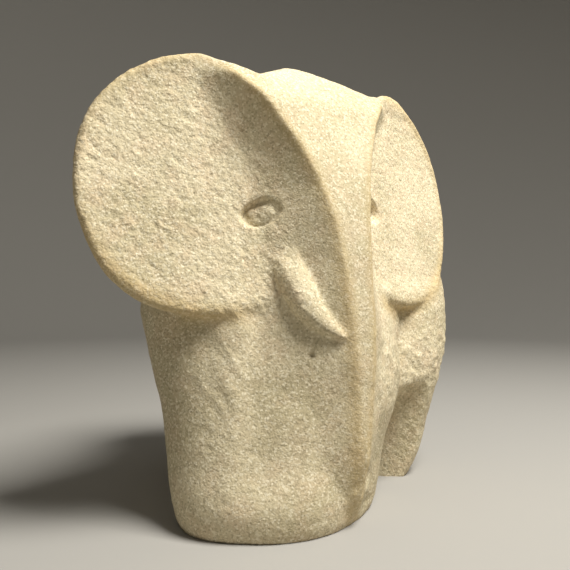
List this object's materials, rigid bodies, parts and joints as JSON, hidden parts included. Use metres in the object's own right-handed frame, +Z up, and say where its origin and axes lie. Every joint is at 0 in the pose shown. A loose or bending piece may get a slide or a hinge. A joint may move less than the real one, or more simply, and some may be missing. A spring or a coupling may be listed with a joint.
{
  "type": "carved stone elephant sculpture",
  "caption": "Chunky elephant carved from a block of sandstone, with round ears, a flat-fronted trunk down to the ground and an arch between the legs; an ornament that stands by its own weight.",
  "frame": {"origin": "on the ground, in the middle of the carving's width and length", "axes": "+Z up, -Y the way the body faces, +X to the animal's left, towards which the head is turned"},
  "size_m": [0.1634, 0.1568, 0.204],
  "materials": {
    "sandstone": "rough, carved and left matt, with pits and fine tool marks"
  },
  "bodies": {
    "root": {"stone_elephant": "sandstone"}
  },
  "joints": []
}
